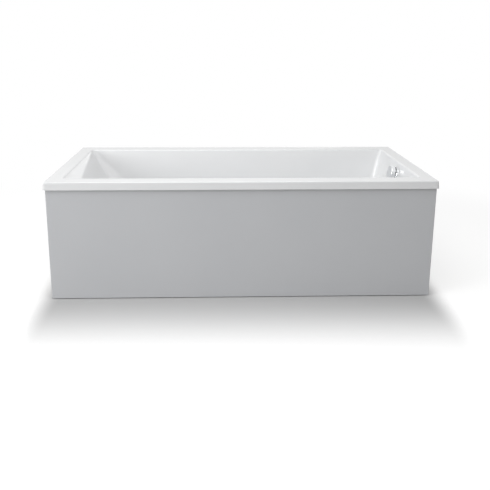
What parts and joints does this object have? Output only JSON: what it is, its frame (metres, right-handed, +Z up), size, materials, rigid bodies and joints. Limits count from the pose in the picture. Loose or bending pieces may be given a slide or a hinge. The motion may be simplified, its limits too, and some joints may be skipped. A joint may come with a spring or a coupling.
{
  "type": "alcove bathtub",
  "caption": "Rectangular alcove bathtub with sloping backrest, flat front panel, levelling feet, rotary overflow knob and pop-up plug.",
  "frame": {"origin": "on the floor, under the middle of the footprint", "axes": "+X to the foot end with the overflow and waste, +Y to the back wall, -Y to the front panel, +Z up"},
  "size_m": [1.7, 0.75, 0.535],
  "materials": {
    "acrylic": "gloss",
    "panel": "satin",
    "chipboard": "matte",
    "zinc_steel": "zinc plated",
    "foot_plastic": "matte",
    "chrome": "polished",
    "rubber": "matte",
    "white_plastic": "moulded",
    "grey_plastic": "moulded",
    "cable_sheath": "matte"
  },
  "bodies": {
    "tub": {"base_board": "chipboard", "bowden_cable": "cable_sheath", "bracket_screws": "zinc_steel", "clip_screws": "zinc_steel", "crank_housing": "grey_plastic", "drum_cover": "grey_plastic", "front_panel": "panel", "leg_rail_foot": "zinc_steel", "leg_rail_head": "zinc_steel", "lock_nuts": "zinc_steel", "outlet_pipe": "white_plastic", "overflow_body": "white_plastic", "overflow_flange": "chrome", "overflow_gasket": "rubber", "overflow_pipe": "white_plastic", "overflow_seal": "rubber", "panel_brackets": "zinc_steel", "panel_clips": "zinc_steel", "panel_strip_bottom": "chipboard", "panel_strip_top": "chipboard", "pipe_nut_lower": "grey_plastic", "pipe_nut_upper": "grey_plastic", "rail_screws": "zinc_steel", "rim_batten_back": "chipboard", "rim_batten_foot": "chipboard", "rim_batten_front": "chipboard", "rim_batten_head": "chipboard", "trap_body": "white_plastic", "trap_cap": "white_plastic", "trap_nut": "grey_plastic", "trap_outlet_nut": "grey_plastic", "tub_shell": "acrylic", "wall_anchors": "zinc_steel", "waste_body": "white_plastic", "waste_flange": "chrome", "waste_gasket": "rubber", "waste_seal": "rubber"},
    "knob": {"overflow_knob": "chrome", "overflow_spindle": "grey_plastic"},
    "plug": {"plug_cap": "chrome", "plug_stem": "grey_plastic", "plug_seal": "rubber"},
    "lever": {"lift_lever": "grey_plastic"},
    "level_foot_head_front": {"foot_stud_head_front": "zinc_steel", "foot_pad_head_front": "foot_plastic"},
    "level_foot_head_back": {"foot_stud_head_back": "zinc_steel", "foot_pad_head_back": "foot_plastic"},
    "level_foot_foot_front": {"foot_stud_foot_front": "zinc_steel", "foot_pad_foot_front": "foot_plastic"},
    "level_foot_foot_back": {"foot_stud_foot_back": "zinc_steel", "foot_pad_foot_back": "foot_plastic"}
  },
  "joints": [
    {"name": "knob_turn", "type": "hinge", "parent": "tub", "child": "knob", "pos_m": [0.77295, 0, 0.473], "axis": [-0.9816, 0, 0.1908], "range_deg": [0, 90]},
    {"name": "plug_lift", "type": "slide", "parent": "tub", "child": "plug", "axis": [0, 0, 1], "range_m": [0, 0.012]},
    {"name": "lever_turn", "type": "hinge", "parent": "tub", "child": "lever", "pos_m": [0.62, 0, 0.0935], "axis": [0, 1, 0], "range_deg": [0, 34.92]},
    {"name": "level_head_front", "type": "slide", "parent": "tub", "child": "level_foot_head_front", "axis": [0, 0, -1], "range_m": [-0.02, 0.025]},
    {"name": "level_head_back", "type": "slide", "parent": "tub", "child": "level_foot_head_back", "axis": [0, 0, -1], "range_m": [-0.02, 0.025]},
    {"name": "level_foot_front", "type": "slide", "parent": "tub", "child": "level_foot_foot_front", "axis": [0, 0, -1], "range_m": [-0.02, 0.025]},
    {"name": "level_foot_back", "type": "slide", "parent": "tub", "child": "level_foot_foot_back", "axis": [0, 0, -1], "range_m": [-0.02, 0.025]}
  ],
  "couplings": [
    {"joint": "plug_lift", "follows": "knob_turn", "m_per_rad": 0.0076394},
    {"joint": "lever_turn", "follows": "knob_turn", "ratio": 0.38795}
  ]
}
